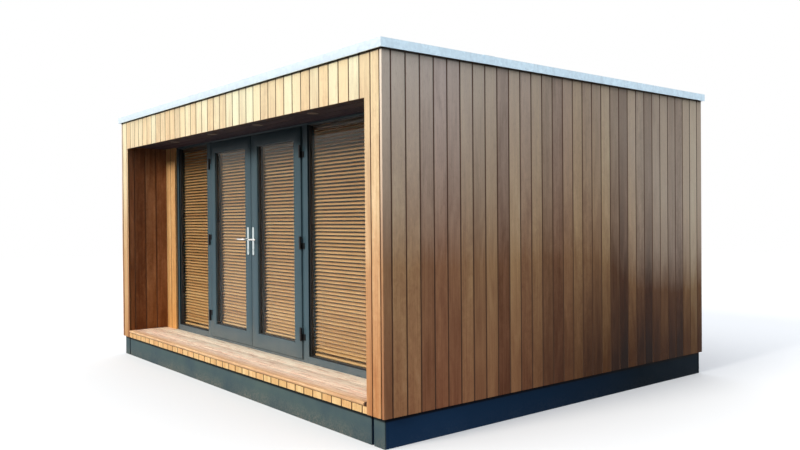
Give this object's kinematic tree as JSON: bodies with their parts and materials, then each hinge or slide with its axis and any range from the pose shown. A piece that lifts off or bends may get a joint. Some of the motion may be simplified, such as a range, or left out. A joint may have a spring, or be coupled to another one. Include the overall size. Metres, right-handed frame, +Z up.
{
  "type": "garden office pod",
  "caption": "Flat-roofed timber-clad garden room with a recessed porch, glazed double doors between fixed lights, slatted blinds and a metal roof trim.",
  "frame": {"origin": "on the ground under the middle of the roof trim", "axes": "+Z up, the porch and doors face -Y, +X to the right as seen from the porch side"},
  "size_m": [4.59, 3.66, 2.5],
  "materials": {
    "base_timber": "treated softwood",
    "room_boards": "satin floorboards",
    "plinth_board": "dark slate-grey painted boards",
    "wall_lining": "white painted lining on insulated panels",
    "cedar": "oiled vertical boards with shadow grooves",
    "cedar_deck": "smooth deck boards",
    "downlight_metal": "satin",
    "roof_rubber": "matte membrane",
    "roof_trim": "mill finish",
    "screen_paint": "powder-coated anthracite, satin",
    "glass": "clear sealed units",
    "hinge_black": "black, satin",
    "handle_chrome": "polished",
    "blind_wood": "honey lacquered slats"
  },
  "bodies": {
    "pod": {"floor_bearers": "base_timber", "base_panel": "base_timber", "room_floor": "room_boards", "plinth_front": "plinth_board", "plinth_back": "plinth_board", "plinth_left": "plinth_board", "plinth_right": "plinth_board", "left_wall": "wall_lining", "right_wall": "wall_lining", "back_wall": "wall_lining", "front_wall_left": "wall_lining", "front_wall_right": "wall_lining", "front_wall_head": "wall_lining", "fascia_beam": "base_timber", "left_cladding": "cedar", "right_cladding": "cedar", "back_cladding": "cedar", "fascia_cladding": "cedar", "cheek_fronts": "cedar", "cheek_sides": "cedar", "front_cladding": "cedar", "porch_deck": "cedar_deck", "deck_fascia": "cedar", "porch_soffit": "cedar", "downlights": "downlight_metal", "roof_panel": "wall_lining", "roof_membrane": "roof_rubber", "roof_trim_front": "roof_trim", "roof_trim_back": "roof_trim", "roof_trim_left": "roof_trim", "roof_trim_right": "roof_trim", "screen_head": "screen_paint", "screen_jambs": "screen_paint", "screen_mullions": "screen_paint", "sidelight_sills": "screen_paint", "door_threshold": "screen_paint", "left_sidelight_glass": "glass", "right_sidelight_glass": "glass", "screen_hinges": "hinge_black", "left_sidelight_blind": "blind_wood", "right_sidelight_blind": "blind_wood"},
    "left_door": {"left_door": "screen_paint", "left_door_glass": "glass", "left_door_hinges": "hinge_black", "left_handle_plates": "handle_chrome", "left_door_blind": "blind_wood"},
    "right_door": {"right_door": "screen_paint", "right_door_glass": "glass", "right_door_hinges": "hinge_black", "right_handle_plates": "handle_chrome", "right_door_blind": "blind_wood"},
    "left_lever": {"left_lever": "handle_chrome"},
    "right_lever": {"right_lever": "handle_chrome"}
  },
  "joints": [
    {"name": "left_door_swing", "type": "hinge", "parent": "pod", "child": "left_door", "pos_m": [-1.032, -1.394, 1.2], "axis": [0, 0, -1], "range_deg": [0, 95]},
    {"name": "right_door_swing", "type": "hinge", "parent": "pod", "child": "right_door", "pos_m": [0.647, -1.394, 1.2], "axis": [0, 0, 1], "range_deg": [0, 95]},
    {"name": "left_lever_turn", "type": "hinge", "parent": "left_door", "child": "left_lever", "pos_m": [-0.2405, -1.352, 1.235], "axis": [0, -1, 0], "range_deg": [0, 40], "stiffness_Nm_per_rad": 1.2, "springref_deg": -40.11},
    {"name": "right_lever_turn", "type": "hinge", "parent": "right_door", "child": "right_lever", "pos_m": [-0.1445, -1.352, 1.235], "axis": [0, 1, 0], "range_deg": [0, 40], "stiffness_Nm_per_rad": 1.2, "springref_deg": -40.11}
  ]
}
